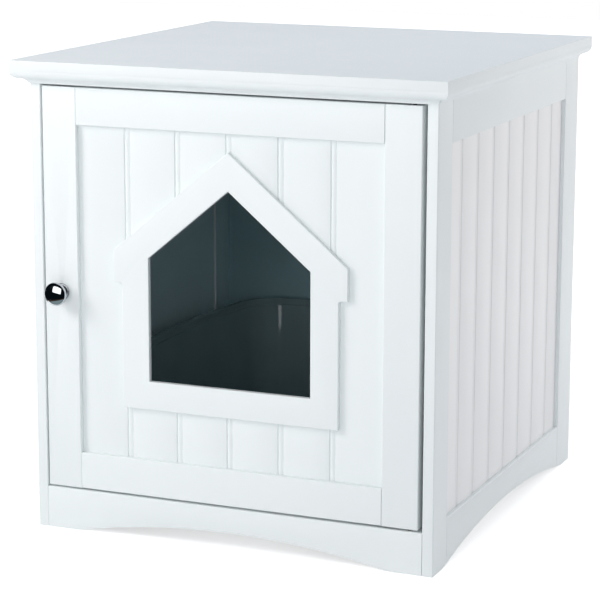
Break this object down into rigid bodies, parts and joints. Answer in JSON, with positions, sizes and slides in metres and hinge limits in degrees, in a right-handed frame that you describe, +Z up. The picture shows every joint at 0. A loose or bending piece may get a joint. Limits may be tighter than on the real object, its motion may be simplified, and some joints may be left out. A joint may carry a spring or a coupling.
{
  "type": "litter box cabinet",
  "caption": "Square white bead-board cabinet on arched feet, with a moulded top and a framed door on pivot pins that has a house-shaped doorway to the litter tray inside.",
  "frame": {"origin": "middle of the footprint, on the floor (the footprint runs from the knob's front to the back)", "axes": "+X to the viewer's right as the door is faced, +Y to the back, +Z up"},
  "size_m": [0.49, 0.5096, 0.513],
  "materials": {
    "white_paint": "satin white lacquer over fibreboard",
    "chrome": "polished",
    "steel": "bright zinc plated",
    "zinc": "die-cast, matt",
    "nylon": "natural",
    "catch_plastic": "fine grain",
    "ferrite": "sintered",
    "beech": "unfinished",
    "tray_plastic": "moulded gloss"
  },
  "bodies": {
    "cabinet": {"top_board": "white_paint", "front_cornice": "white_paint", "left_cornice": "white_paint", "right_cornice": "white_paint", "header_rail": "white_paint", "left_front_stile": "white_paint", "left_rear_stile": "white_paint", "left_top_rail": "white_paint", "left_bottom_rail": "white_paint", "left_bead_panel": "white_paint", "right_front_stile": "white_paint", "right_rear_stile": "white_paint", "right_top_rail": "white_paint", "right_bottom_rail": "white_paint", "right_bead_panel": "white_paint", "back_panel": "white_paint", "floor_board": "white_paint", "front_apron": "white_paint", "lower_pivot_bush": "nylon", "upper_pivot_bush": "nylon", "catch_housing": "catch_plastic", "catch_magnet": "ferrite", "catch_pole_plates": "steel", "catch_screws": "steel", "floor_cam_bolts": "steel", "back_cam_bolts": "steel", "apron_cam_bolts": "steel", "top_cam_bolts": "steel", "floor_cams": "zinc", "back_cams": "zinc", "apron_cams": "zinc", "top_cams": "zinc", "top_dowels": "beech", "header_dowels": "beech"},
    "door": {"door_left_stile": "white_paint", "door_right_stile": "white_paint", "door_top_rail": "white_paint", "door_bottom_rail": "white_paint", "door_bead_panel": "white_paint", "doorway_trim": "white_paint", "knob": "chrome", "knob_rosette": "chrome", "knob_screw": "steel", "lower_pivot_pin": "steel", "upper_pivot_pin": "steel", "strike_plate": "steel", "strike_screw": "steel"},
    "tray": {"litter_tray": "tray_plastic"}
  },
  "joints": [
    {"name": "door_hinge", "type": "hinge", "parent": "cabinet", "child": "door", "pos_m": [0.2021, -0.22725, 0.267], "axis": [0, 0, 1], "range_deg": [0, 130]},
    {"name": "tray_slide", "type": "slide", "parent": "cabinet", "child": "tray", "axis": [0, -1, 0], "range_m": [-0.0035, 0.0045]}
  ]
}
